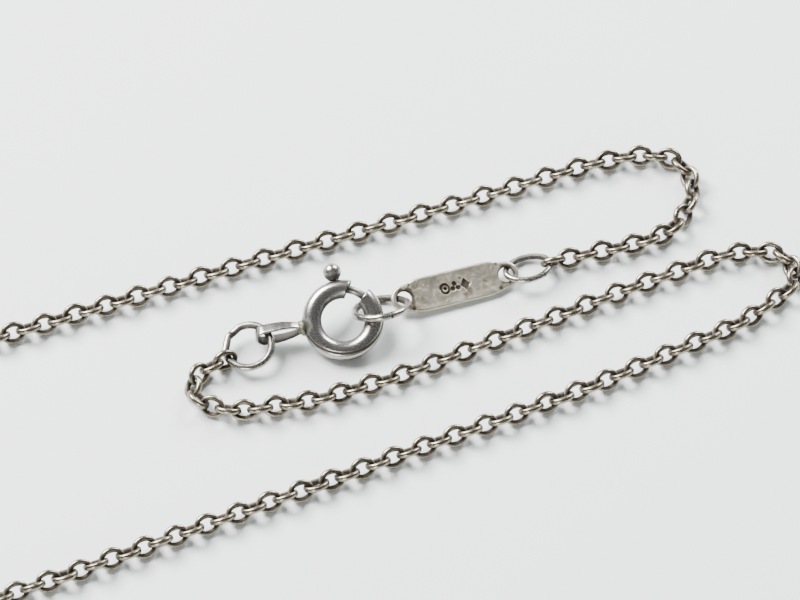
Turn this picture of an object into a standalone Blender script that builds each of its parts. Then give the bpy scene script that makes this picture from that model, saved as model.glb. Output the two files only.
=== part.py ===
"""A chain necklace, laid out on a flat surface: a fine cable chain closed by a spring-ring clasp and a tag.

Metres, +Z up. The surface is z = 0 and the origin is under the middle of the layout.
Lengths below are millimetres and are multiplied by MM where they are used.
Every ring, link and run of chain hangs on a pivot empty, on the wire that it swings about.
"""

import math

import bmesh
import bpy
from mathutils import Matrix, Vector

MM = 0.001
UP = Vector((0, 0, 1))

# --- driving dimensions -------------------------------------------------------------------------

LINK_LENGTH = 2.06  # outside, along the chain
LINK_WIDTH = 1.76  # outside, across the chain
LINK_WIRE = 0.36  # thickness of the link's wire in the plane of the link
LINK_DEPTH = 0.46  # thickness of the link's wire across that plane
LINK_ROLL = math.radians(45)  # neighbouring links lean to either side by this angle
LINK_POINTS = 14  # round the link
LINK_FOOT = 0.195  # from the middle of a leaning link's lowest wire down to the surface
BOW = (LINK_LENGTH - LINK_WIRE) / 2  # from a link's centre to the middle of its end wire
SINGLE_LINKS = 16  # links modelled one by one on either side of the clasp

RUN_RADIUS = 0.68  # a run stands in for a stretch of links
RUN_GAP = 0.27  # from a run's end to the pivot between two runs
RUN_GAP_TO_LINK = 0.47  # the same, where the pivot is on a single link
RUN_TURN = math.radians(9)  # a run's line keeps a point wherever it has turned by this much
RUN_STEP = 4.0  # and at least this often

CLASP_CENTRE = (13.1, 5.73, 1.74)
CLASP_TILT = math.radians(24)  # the far edge of the spring ring is raised
TUBE_CENTRELINE = 2.42
TUBE_RADIUS = 0.74
TUBE_WALL = 0.2
TUBE_OPENING = (51, 82)  # degrees, where the tube is cut away
TUBE_SIDES = 12
SLOT_ARC = (97, 161)  # degrees, the slot that the knob's neck runs in
SLOT_HALF_WIDTH = 0.27
SLOT_STEPS = 9
BOLT_ARC = (40, 112)
BOLT_RADIUS = 0.31
SPRING_ARC = (115, 200)
SPRING_RADIUS = 0.385
SPRING_WIRE_RADIUS = 0.045
SPRING_TURNS = 9
KNOB_ANGLE = 103
KNOB_RADIUS = 0.7
KNOB_REACH = 3.84  # from the clasp's centre to the middle of the knob
NECK_RADIUS = 0.2
FIT = 0.03  # the gap between pieces that touch

TAB_ANGLE = 191
TAB_LENGTH = 3.75
TAB_HEIGHT = 1.5
TAB_ROOT_HEIGHT = 1.2
TAB_STRIP = 0.22
TAB_HALF_WIDTH = 0.44
TAB_ROLL = math.radians(35)

RING_POINTS = 26
CUT_WIDTH = 0.05
TAB_RING = {"centre": (5.77, 3.73, 1.08), "half": (1.79, 1.79), "wire": 0.26, "cut": 95}
TAB_RING_HIGH_SIDE = math.radians(46)  # the bearing of the ring's raised side, in the tab
TAB_RING_LEAN = math.radians(9.5)
TAB_RING_TO_CHAIN = 163  # degrees round the ring from its raised side to the chain
END_RING = {"centre": (16.05, 6.87, 1.55), "half": (2.08, 2.08), "wire": 0.25, "cut": -80}
END_RING_BEARING = math.radians(14.5)
END_RING_LEAN = math.radians(38.5)  # the near side is raised
END_RING_ON_TUBE = 6  # degrees round the clasp
END_RING_IN_TAG = 24  # degrees round the ring
TAG_RING = {"centre": (27.48, 11.14, 0.8), "half": (1.78, 1.35), "wire": 0.22, "cut": -62}
TAG_RING_BEARING = math.radians(19.7)
TAG_RING_LEAN = math.radians(18)  # the near side is raised
TAB_SIDE_FIRST_ROLL = math.radians(-65)
TAG_SIDE_FIRST_ROLL = math.radians(-65)

TAG_CENTRE = (21.79, 9.38, 0.84)
TAG_BEARING = math.radians(16.3)
TAG_PITCH = math.radians(1.6)  # the end by the clasp is raised
TAG_LEAN = math.radians(23)  # the far edge is raised
TAG_LENGTH = 10.4
TAG_WIDTH = 2.78
TAG_THICKNESS = 0.38
TAG_EAR = 1.08  # radius of each rounded end
TAG_SHOULDER = 2.95  # from the tag's centre to where it starts to narrow
TAG_NECK = 3.9  # and to where it has narrowed
TAG_HOLE = 0.65
TAG_HOLE_AT = 4.15

# The chain's route on either side of the clasp: stations of (x, y, links to the next station).
# From the tab: the small loop, the lower strand, the right-hand loop and the front strand.
TAB_SIDE = [
    (4.0, 2.63, 1), (2.98, 2.15, 1), (2.05, 1.38, 1), (1.6, 0.25, 1), (2.05, -0.87, 1),
    (3.1, -1.5, 2), (5.55, -1.85, 2), (7.97, -1.43, 2), (10.43, -1.02, 2), (12.89, -0.33, 2),
    (15.3, 0.51, 2), (17.72, 1.34, 16), (36.76, 9.89, 2), (39.15, 10.86, 2), (41.56, 11.92, 2),
    (44.05, 12.65, 2), (46.5, 12.7, 1), (47.5, 12.2, 1), (48.15, 11.3, 1), (48.3, 10.25, 1),
    (47.75, 9.2, 1), (46.8, 8.35, 2), (44.77, 6.7, 2), (42.65, 5.42, 2), (40.36, 4.29, 8),
    (31.1, -0.18, 12), (17.0, -6.1, 14), (0.58, -13.0, 6), (-6.54, -16.0, 4), (-11.26, -17.88, 2),
    (-13.6, -18.8, 2), (-15.9, -19.7, 1), (-17.14, -20.17, 0),
]

# From the tag: the short strand, the loop and the far strand, then the rest of the length, folded
# to and fro beside the layout.
TAG_SIDE = [
    (29.49, 11.75, 1), (30.75, 12.11, 2), (33.3, 12.82, 2), (35.75, 13.45, 2), (38.0, 14.35, 1),
    (39.0, 15.1, 1), (39.75, 16.15, 1), (40.3, 17.3, 1), (40.55, 18.5, 1), (40.4, 19.75, 1),
    (39.8, 20.85, 1), (38.85, 21.6, 2), (36.51, 21.85, 2), (34.02, 21.41, 2), (31.52, 20.67, 2),
    (29.02, 19.79, 4), (24.04, 17.97, 16), (4.4, 11.21, 8), (-5.34, 7.73, 6), (-12.45, 5.21, 2),
    (-14.85, 4.35, 2), (-17.3, 3.7, 4), (-22.4, 3.3, 18),
]

# The folds: straight passes side by side, joined by half circles of eight links.
FOLD_LEFT = -48.95
FOLD_PITCH = 1.285
FOLD_RADIUS = 8 * FOLD_PITCH / math.pi
FOLD_START = 0.03  # y at which the first pass leaves its quarter circle
FOLD_FIRST_LINKS = 14
FOLD_PASS_LINKS = 11
FOLD_PASSES = 5
FOLD_END = [(-22.77, -17.63, 2), (-21.85, -19.92, 2), (-19.62, -20.86, 1), (-18.38, -20.65, 0)]

# Nodes after the single links: how many links each run of chain stands in for.
TAB_SIDE_RUNS = (14, 12, 8, 16, 16, 20)
TAG_SIDE_RUNS = (14, 14, 14, 13, 16, 16, 19, 19, 19, 22)

MATERIALS = {  # base colour, roughness
    "chain_metal": ((0.30, 0.27, 0.24), 0.38),
    "ring_metal": ((0.42, 0.40, 0.38), 0.28),
    "clasp_metal": ((0.40, 0.39, 0.38), 0.25),
    "tag_metal": ((0.48, 0.45, 0.41), 0.45),
    "spring_steel": ((0.33, 0.33, 0.34), 0.35),
}


# --- helpers ------------------------------------------------------------------------------------

def new_collection(name, hidden=False):
    collection = bpy.data.collections.new(name)
    bpy.context.scene.collection.children.link(collection)
    collection.hide_render = hidden
    return collection


def metal(name, slot):
    """A Principled material of this piece's own."""
    colour, roughness = MATERIALS[slot]
    material = bpy.data.materials.new(name)
    material.use_nodes = True
    shader = material.node_tree.nodes["Principled BSDF"]
    shader.inputs["Base Color"].default_value = (*colour, 1)
    shader.inputs["Roughness"].default_value = roughness
    shader.inputs["Metallic"].default_value = 1
    return material


def placed(origin_mm, x_axis, y_axis):
    """The matrix of a local frame with its origin in millimetres."""
    x_axis = Vector(x_axis).normalized()
    z_axis = x_axis.cross(Vector(y_axis)).normalized()
    axes = Matrix((x_axis, z_axis.cross(x_axis), z_axis)).transposed().to_4x4()
    return Matrix.Translation(Vector(origin_mm) * MM) @ axes


def leaning_frame(centre_mm, bearing, lean):
    """A frame whose x axis is level at a bearing, and whose y axis rises away from the front."""
    along = Vector((math.cos(bearing), math.sin(bearing), 0))
    across = UP.cross(along) * math.cos(lean) + UP * math.sin(lean)
    return placed(centre_mm, along, across)


def turned_to(origin_mm, axis):
    """A frame at a point, in millimetres, whose z axis is the given axis."""
    turn = Vector(axis).to_track_quat("Z", "Y").to_matrix().to_4x4()
    return Matrix.Translation(Vector(origin_mm) * MM) @ turn


def hang(thing, matrix, parent):
    """Put an object in the world and hang it on its parent. Parents' own matrices are world ones."""
    thing.matrix_basis = matrix
    if parent:
        thing.parent = parent
        thing.matrix_parent_inverse = parent.matrix_basis.inverted()
    return thing


def pivot(name, matrix, parent=None):
    """An empty on a joint. Its z axis is the joint's axis."""
    empty = bpy.data.objects.new("pivot_" + name, None)
    empty.empty_display_size = MM / 2
    parts.objects.link(empty)
    return hang(empty, matrix, parent)


def add(name, data, slot, matrix, parent):
    """A visible piece, with its own object and its own material."""
    piece = bpy.data.objects.new(name, data)
    parts.objects.link(piece)
    if not data.materials:
        data.materials.append(None)
    piece.material_slots[0].link = "OBJECT"
    piece.material_slots[0].material = metal(name, slot)
    return hang(piece, matrix, parent)


def wire_curve(name, points_mm, radius_mm, closed=False, resolution=2):
    """A round wire or tube through the points, with filled caps where it is open."""
    curve = bpy.data.curves.new(name, "CURVE")
    curve.dimensions = "3D"
    curve.bevel_depth = radius_mm * MM
    curve.bevel_resolution = resolution
    curve.use_fill_caps = not closed
    spline = curve.splines.new("POLY")
    spline.points.add(len(points_mm) - 1)
    for slot, point in zip(spline.points, points_mm):
        slot.co = (*(Vector(point) * MM), 1)
    spline.use_cyclic_u = closed
    return curve


def plate_curve(name, outlines_mm, thickness_mm):
    """A flat outline, with any further outlines as holes, extruded to a thickness about its plane."""
    curve = bpy.data.curves.new(name, "CURVE")
    curve.dimensions = "2D"
    curve.fill_mode = "BOTH"
    curve.extrude = thickness_mm * MM / 2
    for outline in outlines_mm:
        spline = curve.splines.new("POLY")
        spline.points.add(len(outline) - 1)
        for slot, (x, y) in zip(spline.points, outline):
            slot.co = (x * MM, y * MM, 0, 1)
        spline.use_cyclic_u = True
    return curve


def arc(radius, start, end, count, centre=(0, 0)):
    """Points from one angle to another, in degrees, both ends included."""
    angles = [math.radians(start + (end - start) * i / (count - 1)) for i in range(count)]
    return [(centre[0] + radius * math.cos(a), centre[1] + radius * math.sin(a)) for a in angles]


def flat(points, z=0.0):
    return [(x, y, z) for x, y in points]


def oval(half_length, half_width, count, start=0.0, end=360.0):
    """Points round an oval. A whole turn leaves out the repeated last point."""
    whole = end - start == 360
    steps = count if whole else count - 1
    angles = [math.radians(start + (end - start) * i / steps) for i in range(count)]
    return [(half_length * math.cos(a), half_width * math.sin(a), 0) for a in angles]


# --- the route of the chain ---------------------------------------------------------------------

def smooth_piece(stations, i, t):
    """The point at t, from 0 to 1, on the smooth curve from station i to the next."""
    p = [Vector(stations[max(0, min(j, len(stations) - 1))][:2]) for j in range(i - 1, i + 3)]
    before, here, after = ((b - a).length or 1 for a, b in zip(p, p[1:]))
    leave = (p[2] - p[0]) * here / (before + here)
    arrive = (p[3] - p[1]) * here / (here + after)
    return (
        p[1] * (2 * t**3 - 3 * t**2 + 1)
        + leave * (t**3 - 2 * t**2 + t)
        + p[2] * (3 * t**2 - 2 * t**3)
        + arrive * (t**3 - t**2)
    )


def fold_stations():
    """The hidden rest of the length: a quarter circle, then straight passes joined by half circles."""
    radius = FOLD_RADIUS
    bottom = FOLD_START - FOLD_FIRST_LINKS * FOLD_PITCH
    top = bottom + FOLD_PASS_LINKS * FOLD_PITCH
    turn = arc(radius, 90, 180, 3, (FOLD_LEFT + radius, FOLD_START))
    stations = [(x, y, 2) for x, y in turn[:-1]]
    stations.append((*turn[-1], FOLD_FIRST_LINKS))
    for n in range(1, FOLD_PASSES):
        level, sweep = (bottom, 360) if n % 2 else (top, 0)
        turn = arc(radius, 180, sweep, 5, (FOLD_LEFT + (2 * n - 1) * radius, level))
        stations += [(x, y, 2) for x, y in turn[:-1]]
        stations.append((*turn[-1], FOLD_PASS_LINKS))
    return stations


def link_centres(stations):
    """The plan position of every link: one on each station, and evenly by length between them."""
    centres = []
    for i, (_, _, links) in enumerate(stations[:-1]):
        samples = [smooth_piece(stations, i, step / 64) for step in range(65)]
        lengths = [0.0]
        for a, b in zip(samples, samples[1:]):
            lengths.append(lengths[-1] + (b - a).length)
        for n in range(links):
            goal = lengths[-1] * n / links
            at = max(j for j in range(64) if lengths[j] <= goal)
            share = (goal - lengths[at]) / (lengths[at + 1] - lengths[at])
            centres.append(samples[at].lerp(samples[at + 1], share))
    centres.append(Vector(stations[-1][:2]))
    return centres


class Link:
    """Where one link lies: its centre, its direction along the chain, and the direction of its bows."""

    def __init__(self, centre, along, roll):
        side = UP.cross(along)
        height = (LINK_WIDTH - LINK_WIRE) / 2 * abs(math.sin(roll)) + LINK_FOOT
        self.centre = Vector((centre.x, centre.y, height))
        self.along = along
        self.across = side * math.cos(roll) + UP * math.sin(roll)

    def bow(self, end=1):
        """The middle of the wire at the link's far end, or its near end with -1."""
        return self.centre + self.along * BOW * end

    def matrix(self):
        return placed(self.centre, self.along, self.across)


def lay_links(stations, first_roll):
    """Every link of a route. Neighbours lean to opposite sides, and the first as its ring makes it."""
    centres = link_centres(stations)
    last = len(centres) - 1
    links = []
    for i, centre in enumerate(centres):
        step = centres[min(i + 1, last)] - centres[max(i - 1, 0)]
        leaning = LINK_ROLL if i % 2 else -LINK_ROLL
        links.append(Link(centre, step.to_3d().normalized(), leaning if i else first_roll))
    return links


# --- the clasp ----------------------------------------------------------------------------------

def tube_mesh():
    """The spring ring's hollow tube: a circle turned about the ring's axis, with a wall."""
    mesh = bpy.data.meshes.new("clasp_tube")
    circle = []
    for i in range(TUBE_SIDES):
        a = -2 * math.pi * i / TUBE_SIDES
        circle.append((MM * (TUBE_CENTRELINE + TUBE_RADIUS * math.cos(a)), 0, MM * TUBE_RADIUS * math.sin(a)))
    mesh.from_pydata(circle, [(i, (i + 1) % TUBE_SIDES) for i in range(TUBE_SIDES)], [])
    return mesh


def add_clasp_tube(frame, parent):
    start, end = TUBE_OPENING[1], TUBE_OPENING[0] + 360
    tube = add("clasp_tube", tube_mesh(), "clasp_metal", frame @ turn_z(start), parent)
    turned = tube.modifiers.new("Turn", "SCREW")
    turned.angle = math.radians(end - start)
    turned.steps = turned.render_steps = 34
    turned.use_merge_vertices = False
    wall = tube.modifiers.new("Wall", "SOLIDIFY")
    wall.thickness = TUBE_WALL * MM
    wall.offset = -1
    slot = tube.modifiers.new("Knob slot", "BOOLEAN")
    slot.operation = "DIFFERENCE"
    slot.solver = "EXACT"
    slot.object = slot_cutter(frame)


def slot_cutter(frame):
    """A bent bar that cuts the slot for the knob's neck through the outer wall."""
    shape = bmesh.new()
    for radius in (TUBE_CENTRELINE + TUBE_RADIUS / 2, TUBE_CENTRELINE + TUBE_RADIUS * 1.5):
        for z in (-SLOT_HALF_WIDTH, SLOT_HALF_WIDTH):
            for x, y in arc(radius, *SLOT_ARC, SLOT_STEPS):
                shape.verts.new((x * MM, y * MM, z * MM))
    shape.verts.ensure_lookup_table()
    near_low, near_high, far_low, far_high = (shape.verts[i:i + SLOT_STEPS] for i in
                                              range(0, 4 * SLOT_STEPS, SLOT_STEPS))
    rows = (near_low, near_high, far_high, far_low)
    for row, following in zip(rows, rows[1:] + rows[:1]):
        for i in range(SLOT_STEPS - 1):
            shape.faces.new((row[i], following[i], following[i + 1], row[i + 1]))
    for end in (0, -1):
        shape.faces.new([row[end] for row in rows])
    bmesh.ops.recalc_face_normals(shape, faces=shape.faces)
    mesh = bpy.data.meshes.new("slot_cutter")
    shape.to_mesh(mesh)
    shape.free()
    cutter = bpy.data.objects.new("slot_cutter", mesh)
    cutters.objects.link(cutter)
    cutter.matrix_basis = frame
    cutter.hide_render = True
    cutter.display_type = "WIRE"
    return cutter


def turn_z(degrees):
    return Matrix.Rotation(math.radians(degrees), 4, "Z")


def add_spring(frame, parent):
    """The coil spring that lies in the tube behind the bolt."""
    points = []
    for i in range(SPRING_TURNS * 8 + 1):
        turn = 2 * math.pi * i / 8
        angle = math.radians(SPRING_ARC[0] + (SPRING_ARC[1] - SPRING_ARC[0]) * i / (SPRING_TURNS * 8))
        reach = TUBE_CENTRELINE + SPRING_RADIUS * math.cos(turn)
        points.append((reach * math.cos(angle), reach * math.sin(angle), SPRING_RADIUS * math.sin(turn)))
    add("clasp_spring", wire_curve("clasp_spring", points, SPRING_WIRE_RADIUS, resolution=0),
        "spring_steel", frame, parent)


def add_knob(frame, parent):
    """The thumb knob: a neck and a ball, turned about the knob's own radius of the ring."""
    foot = TUBE_CENTRELINE + BOLT_RADIUS + FIT
    waist = math.degrees(math.asin(NECK_RADIUS / KNOB_RADIUS))
    ball = arc(KNOB_RADIUS, 90, waist - 90, 9, (0, KNOB_REACH))
    profile = [(0, ball[0][1]), *ball[1:], (NECK_RADIUS, foot), (0, foot)]
    mesh = bpy.data.meshes.new("thumb_knob")
    mesh.from_pydata([(x * MM, 0, z * MM) for x, z in profile], [(i, i + 1) for i in range(len(profile) - 1)], [])
    upright = Matrix.Rotation(math.radians(90), 4, "Y")
    knob = add("thumb_knob", mesh, "clasp_metal", frame @ turn_z(KNOB_ANGLE) @ upright, parent)
    turned = knob.modifiers.new("Turn", "SCREW")
    turned.steps = turned.render_steps = 14
    turned.use_merge_vertices = True
    turned.merge_threshold = 1e-6


def tab_outline(inset):
    """The tab's loop seen along its hole: a round nose that tapers to the root."""
    nose = TAB_HEIGHT / 2 - inset
    root = TAB_ROOT_HEIGHT / 2 - inset
    centre = TAB_LENGTH - TAB_HEIGHT / 2
    return [(inset, -root), *arc(nose, -70, 70, 8, (centre, 0)), (inset, root)]


def add_tab(frame, parent):
    """A flat strip bent round to a loop and fixed to the side of the tube."""
    curve = plate_curve("clasp_tab", [tab_outline(0), tab_outline(TAB_STRIP)], 2 * TAB_HALF_WIDTH)
    out = frame @ turn_z(TAB_ANGLE) @ Matrix.Translation((MM * (TUBE_CENTRELINE + TUBE_RADIUS + FIT), 0, 0))
    stood = Matrix.Rotation(math.radians(90) + TAB_ROLL, 4, "X")
    add("clasp_tab", curve, "clasp_metal", out @ stood, parent)


def add_clasp():
    """The clasp's body is the root. The bolt and its knob turn about the ring's axis."""
    frame = Matrix.Translation(Vector(CLASP_CENTRE) * MM) @ Matrix.Rotation(CLASP_TILT, 4, "X")
    body = pivot("clasp", frame)
    add_clasp_tube(frame, body)
    add_spring(frame, body)
    add_tab(frame, body)
    slide = pivot("clasp_bolt", frame, body)
    bolt = wire_curve("clasp_bolt", flat(arc(TUBE_CENTRELINE, *BOLT_ARC, 12)), BOLT_RADIUS)
    add("clasp_bolt", bolt, "clasp_metal", frame, slide)
    add_knob(frame, slide)
    return body, frame


# --- rings and tag ------------------------------------------------------------------------------

def on_ring(ring, frame, degrees):
    """A point in the middle of a ring's wire and the wire's direction there."""
    a = math.radians(degrees)
    half_length, half_width = ring["half"]
    point = Vector((half_length * math.cos(a), half_width * math.sin(a), 0))
    direction = Vector((-half_length * math.sin(a), half_width * math.cos(a), 0))
    return (frame @ (point * MM)) / MM, (frame.to_3x3() @ direction).normalized()


def add_ring(name, ring, frame, joint, parent):
    """A round or oval wire ring. Its cut leaves a fine gap between the wire's ends."""
    half_length, half_width = ring["half"]
    gap = math.degrees(CUT_WIDTH / half_length)
    start = ring["cut"] + gap / 2
    points = oval(half_length, half_width, RING_POINTS, start, start + 360 - gap)
    swing = pivot(name, joint, parent)
    add(name, wire_curve(name, points, ring["wire"]), "ring_metal", frame, swing)
    return swing


def tag_outline():
    """A plate with straight long sides, drawn in to a rounded ear at each end."""
    half = TAG_LENGTH / 2
    ear = arc(TAG_EAR, -82, 82, 9, (half - TAG_EAR, 0))
    lower = [(TAG_SHOULDER, -TAG_WIDTH / 2), (TAG_NECK, -TAG_EAR)]
    upper = [(TAG_NECK, TAG_EAR), (TAG_SHOULDER, TAG_WIDTH / 2)]
    right = lower + ear[1:-1] + upper
    return right + [(-x, -y) for x, y in right]


def add_tag(frame, joint, parent):
    holes = [arc(TAG_HOLE, 0, 345, 24, (side * TAG_HOLE_AT, 0)) for side in (-1, 1)]
    curve = plate_curve("quality_tag", [tag_outline(), *holes], TAG_THICKNESS)
    swing = pivot("quality_tag", joint, parent)
    add("quality_tag", curve, "tag_metal", frame, swing)
    return swing


# --- the chain ----------------------------------------------------------------------------------

def link_mesh():
    """One link: an oval of flattened round wire, deeper than it is wide."""
    half_length, half_width = BOW, (LINK_WIDTH - LINK_WIRE) / 2
    section = [(math.cos(math.radians(a)), math.sin(math.radians(a))) for a in range(0, 360, 60)]
    sides = len(section)
    points = []
    for x, y, _ in oval(half_length, half_width, LINK_POINTS):
        outward = Vector((x / half_length**2, y / half_width**2, 0)).normalized()
        for out, up in section:
            wire = outward * (out * LINK_WIRE / 2) + UP * (up * LINK_DEPTH / 2)
            points.append((Vector((x, y, 0)) + wire) * MM)
    faces = []
    for i in range(LINK_POINTS):
        here, after = i * sides, (i + 1) % LINK_POINTS * sides
        for k in range(sides):
            beside = (k + 1) % sides
            faces.append((here + k, after + k, after + beside, here + beside))
    mesh = bpy.data.meshes.new("link")
    mesh.from_pydata(points, [], faces)
    return mesh


def run_line(links, start, end):
    """A run's line from one cut to the other, with points where it turns and at least every step."""
    line = [start]
    heading = links[0].along
    for link in links:
        turned = heading.angle(link.along) > RUN_TURN
        clear = min((link.centre - line[-1]).length, (link.centre - end).length) > RUN_RADIUS
        if clear and (turned or (link.centre - line[-1]).length > RUN_STEP):
            line.append(link.centre)
            heading = link.along
    return [*line, end]


def add_chain(name, links, run_counts, joint, parent, mesh):
    """Links one by one from a ring, then the runs, each hung on the bow of the link before it."""
    for i, link in enumerate(links[:SINGLE_LINKS]):
        if i:
            joint = turned_to(links[i - 1].bow(), links[i - 1].across)
        piece = f"{name}_link_{i + 1:02d}"
        parent = pivot(piece, joint, parent)
        add(piece, mesh, "chain_metal", link.matrix(), parent)
    first = SINGLE_LINKS
    for n, count in enumerate(run_counts, start=1):
        before, stretch = links[first - 1], links[first:first + count]
        gap = RUN_GAP if n > 1 else RUN_GAP_TO_LINK
        start = before.bow() + stretch[0].along * gap
        end = stretch[-1].bow() - stretch[-1].along * RUN_GAP
        if n == len(run_counts):
            end -= stretch[-1].along * RUN_GAP
        piece = f"{name}_run_{n:02d}"
        parent = pivot(piece, turned_to(before.bow(), before.across), parent)
        curve = wire_curve(piece, run_line(stretch, start, end), RUN_RADIUS)
        add(piece, curve, "chain_metal", Matrix.Identity(4), parent)
        first += count


def build():
    body, clasp = add_clasp()

    lean = TAB_RING_LEAN
    level = Vector((math.cos(TAB_RING_HIGH_SIDE), math.sin(TAB_RING_HIGH_SIDE), 0))
    tab_frame = placed(TAB_RING["centre"], level * math.cos(lean) + UP * math.sin(lean), UP.cross(level))
    joint = turned_to(*on_ring(TAB_RING, tab_frame, 0))
    tab_ring = add_ring("tab_ring", TAB_RING, tab_frame, joint, body)

    end_frame = leaning_frame(END_RING["centre"], END_RING_BEARING, -END_RING_LEAN)
    a = math.radians(END_RING_ON_TUBE)
    on_tube = clasp @ (Vector((math.cos(a), math.sin(a), 0)) * TUBE_CENTRELINE * MM)
    joint = turned_to(on_tube / MM, clasp.to_3x3() @ Vector((-math.sin(a), math.cos(a), 0)))
    end_ring = add_ring("end_ring", END_RING, end_frame, joint, body)

    tag_frame = leaning_frame(TAG_CENTRE, TAG_BEARING, TAG_LEAN) @ Matrix.Rotation(TAG_PITCH, 4, "Y")
    joint = turned_to(*on_ring(END_RING, end_frame, END_RING_IN_TAG))
    tag = add_tag(tag_frame, joint, end_ring)

    ring_frame = leaning_frame(TAG_RING["centre"], TAG_RING_BEARING, -TAG_RING_LEAN)
    hole = tag_frame @ Vector((TAG_HOLE_AT * MM, 0, 0))
    joint = turned_to(hole / MM, tag_frame.to_3x3() @ Vector((0, 1, 0)))
    tag_ring = add_ring("tag_ring", TAG_RING, ring_frame, joint, tag)

    mesh = link_mesh()
    links = lay_links(TAB_SIDE, TAB_SIDE_FIRST_ROLL)
    joint = turned_to(*on_ring(TAB_RING, tab_frame, TAB_RING_TO_CHAIN))
    add_chain("tab_side", links, TAB_SIDE_RUNS, joint, tab_ring, mesh)
    links = lay_links(TAG_SIDE + fold_stations() + FOLD_END, TAG_SIDE_FIRST_ROLL)
    joint = turned_to(*on_ring(TAG_RING, ring_frame, 0))
    add_chain("tag_side", links, TAG_SIDE_RUNS, joint, tag_ring, mesh)


for leftover in list(bpy.data.objects):
    bpy.data.objects.remove(leftover, do_unlink=True)
parts = new_collection("chain_necklace")
cutters = new_collection("cutters", hidden=True)
build()
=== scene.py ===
# %% [markdown]
# # A fine cable chain, closed by a spring ring clasp and a pierced tag
#
# The necklace lies loose on a pale surface. It has four kinds of metalwork: some 280 small oval links,
# three jump rings, a stamped tag and a spring ring clasp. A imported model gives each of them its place
# and says which joint it turns on. This lesson builds the real shapes around that model, piece by
# piece, and then works on what makes old silver look like old silver: soft polish on the high spots and
# dark tarnish in the crevices.
#
# A length in this file is in millimetres, because a jeweller thinks in them. `MM` turns it to metres.

import math

import bpy
import numpy as np
from mathutils import Matrix, Vector, noise
from mathutils.geometry import delaunay_2d_cdt


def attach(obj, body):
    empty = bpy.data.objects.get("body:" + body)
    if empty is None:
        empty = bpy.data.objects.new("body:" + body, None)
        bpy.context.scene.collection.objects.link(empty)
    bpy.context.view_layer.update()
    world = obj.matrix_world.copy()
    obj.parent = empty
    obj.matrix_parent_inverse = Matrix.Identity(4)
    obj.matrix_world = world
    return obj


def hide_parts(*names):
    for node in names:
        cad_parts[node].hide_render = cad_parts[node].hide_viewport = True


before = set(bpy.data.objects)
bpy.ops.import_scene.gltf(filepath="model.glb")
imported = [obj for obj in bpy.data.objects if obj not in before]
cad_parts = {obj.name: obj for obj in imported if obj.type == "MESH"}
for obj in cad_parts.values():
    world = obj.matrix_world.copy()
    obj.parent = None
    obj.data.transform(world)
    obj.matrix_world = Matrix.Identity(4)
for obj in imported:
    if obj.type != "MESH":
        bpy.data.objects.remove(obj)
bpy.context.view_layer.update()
MM = 0.001
UP = Vector((0, 0, 1))
chance = np.random.default_rng(7)

# %% [markdown]
# ## Camera
#
# Small jewellery is shot from far off with a long lens, so that near and far links come out alike. The
# camera looks down at 57 degrees from 400 mm away. Its aim is a point on the surface by the tag.

# %% Place the camera
AIM = Vector((17.5, 8.7, 0)) * MM
CAMERA_HEIGHT = math.radians(57)
CAMERA_DISTANCE = 400 * MM
SENSOR_WIDTH, LENS_LENGTH = 36, 230.94

camera = bpy.data.objects.new("camera", bpy.data.cameras.new("camera"))
bpy.context.scene.collection.objects.link(camera)
back = Vector((0, -math.cos(CAMERA_HEIGHT), math.sin(CAMERA_HEIGHT)))
camera.location = AIM + back * CAMERA_DISTANCE
camera.rotation_euler = (math.pi / 2 - CAMERA_HEIGHT, 0, 0)
camera.data.sensor_width = SENSOR_WIDTH
camera.data.lens = LENS_LENGTH
camera.data.clip_start = 0.01
camera.data.clip_end = 10
bpy.context.scene.camera = camera
print("lens", round(camera.data.lens, 1), "mm")

# %% [markdown]
# ## Shader sums as Python sums
#
# A procedural finish is mostly arithmetic on masks. Wiring every sum by hand hides the idea, so
# `Amount` wraps a number socket and turns `+`, `-` and `*` into Math nodes. `Finish` holds one material.
# Its `node` method makes any other node: it takes the type, then the settings, then the socket values.

# %% The shader helpers
class Amount:
    """A number that changes over a surface: one socket of a finish."""

    def __init__(self, finish, socket):
        self.finish = finish
        self.socket = socket

    def sum(self, operation, *terms, clamp=False):
        settings = {"operation": operation, "use_clamp": clamp}
        return self.finish.node("ShaderNodeMath", settings, dict(enumerate(terms)))

    def __add__(self, other):
        return self.sum("ADD", self, other)

    def __sub__(self, other):
        return self.sum("SUBTRACT", self, other)

    def __mul__(self, other):
        return self.sum("MULTIPLY", self, other)

    def __radd__(self, other):
        return self.sum("ADD", other, self)

    def __rsub__(self, other):
        return self.sum("SUBTRACT", other, self)

    def __rmul__(self, other):
        return self.sum("MULTIPLY", other, self)

    def held(self):
        """Kept between 0 and 1."""
        return self.sum("ADD", self, 0, clamp=True)

    def step(self, low, high):
        """0 below low, 1 above high, and smooth between them."""
        settings = {"interpolation_type": "SMOOTHSTEP"}
        values = {"Value": self, "From Min": low, "From Max": high}
        return self.finish.node("ShaderNodeMapRange", settings, values)


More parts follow.
